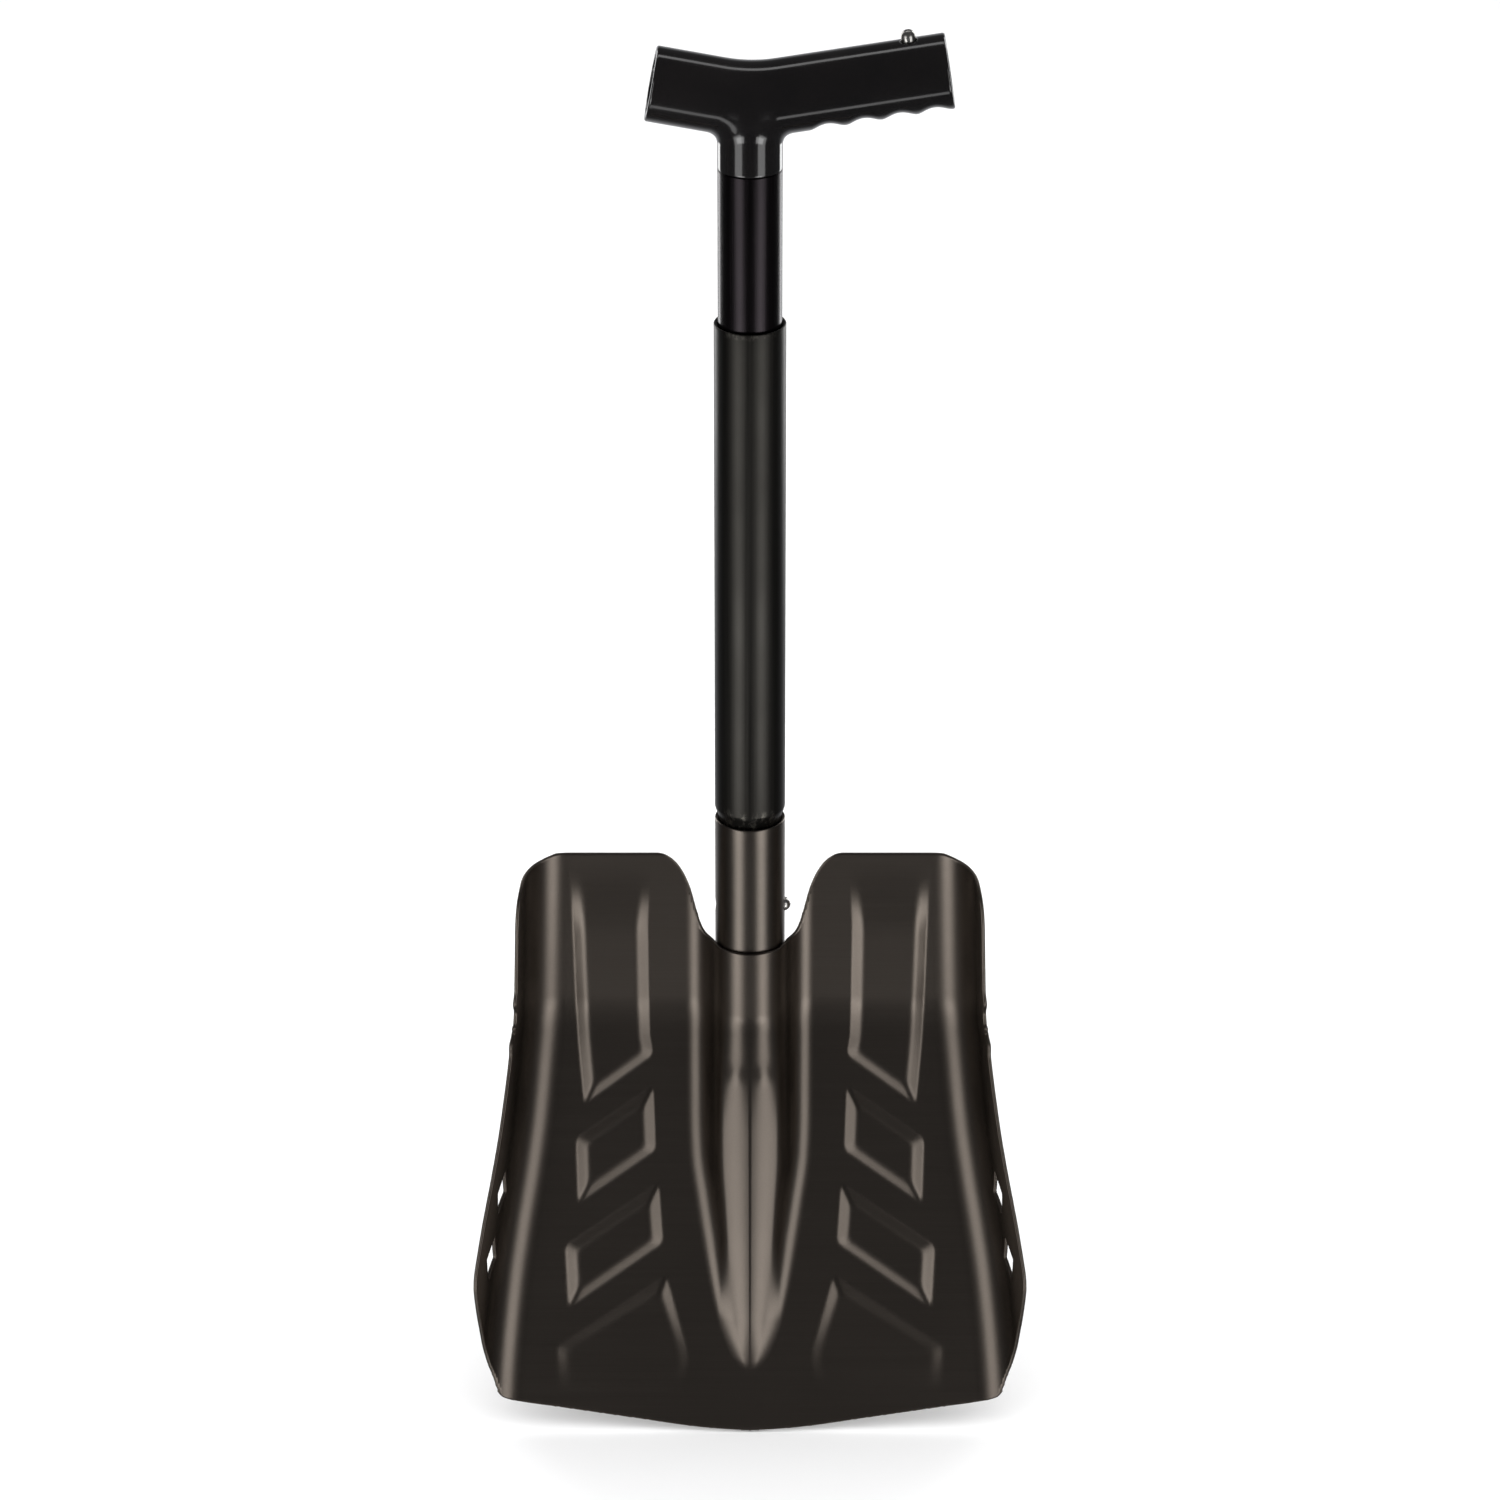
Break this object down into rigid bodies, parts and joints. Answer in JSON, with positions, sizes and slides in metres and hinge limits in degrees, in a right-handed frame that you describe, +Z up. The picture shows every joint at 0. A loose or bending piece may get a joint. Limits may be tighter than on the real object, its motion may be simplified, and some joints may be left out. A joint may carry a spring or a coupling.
{
  "type": "avalanche shovel",
  "caption": "Take-apart snow shovel with a deep ribbed metal scoop, a telescoping round shaft locked by snap buttons and an offset T-grip.",
  "frame": {"origin": "centre of the blade socket's mouth, on the shaft's axis", "axes": "+Z up the shaft from the blade to the grip, scoop facing -Y, X from left to right with the grip's long arm toward +X"},
  "size_m": [0.2558, 0.0995, 0.6546],
  "materials": {
    "blade": "brushed and anodised dark grey",
    "socket": "brushed and anodised dark grey",
    "weld": "as welded, anodised",
    "shaft": "satin black anodised",
    "grip": "gloss black",
    "steel": "polished",
    "spring_steel": "plain"
  },
  "bodies": {
    "blade": {"blade_sheet": "blade", "socket_tube": "socket", "socket_weld_left": "weld", "socket_weld_right": "weld"},
    "lower_shaft": {"lower_shaft_tube": "shaft", "lower_shaft_snap_spring": "spring_steel"},
    "lower_button": {"lower_shaft_snap_button": "steel"},
    "handle": {"upper_shaft_tube": "shaft", "upper_shaft_snap_spring": "spring_steel", "grip_body": "grip", "grip_cross_pin": "spring_steel", "grip_snap_spring": "spring_steel"},
    "upper_button": {"upper_shaft_snap_button": "steel"},
    "grip_button": {"grip_snap_button": "steel"}
  },
  "joints": [
    {"name": "lower_shaft_slide", "type": "slide", "parent": "blade", "child": "lower_shaft", "axis": [0, 0, 1], "range_m": [0, 0.092], "deforming": ["lower_shaft_snap_button", "lower_shaft_snap_spring"]},
    {"name": "handle_slide", "type": "slide", "parent": "lower_shaft", "child": "handle", "axis": [0, 0, 1], "range_m": [0, 0.186], "deforming": ["upper_shaft_snap_button", "upper_shaft_snap_spring"]},
    {"name": "lower_button_press", "type": "slide", "parent": "lower_shaft", "child": "lower_button", "axis": [-1, 0, 0], "range_m": [0, 0.0043], "stiffness_N_per_m": 1500, "springref_m": -0.003, "deforming": ["lower_shaft_snap_spring"]},
    {"name": "upper_button_press", "type": "slide", "parent": "handle", "child": "upper_button", "axis": [0, -1, 0], "range_m": [0, 0.0043], "stiffness_N_per_m": 1500, "springref_m": -0.003, "deforming": ["upper_shaft_snap_spring"]},
    {"name": "grip_button_press", "type": "slide", "parent": "handle", "child": "grip_button", "axis": [0.1564, 0, -0.9877], "range_m": [0, 0.0043], "stiffness_N_per_m": 1500, "springref_m": -0.003, "deforming": ["grip_snap_spring"]}
  ]
}
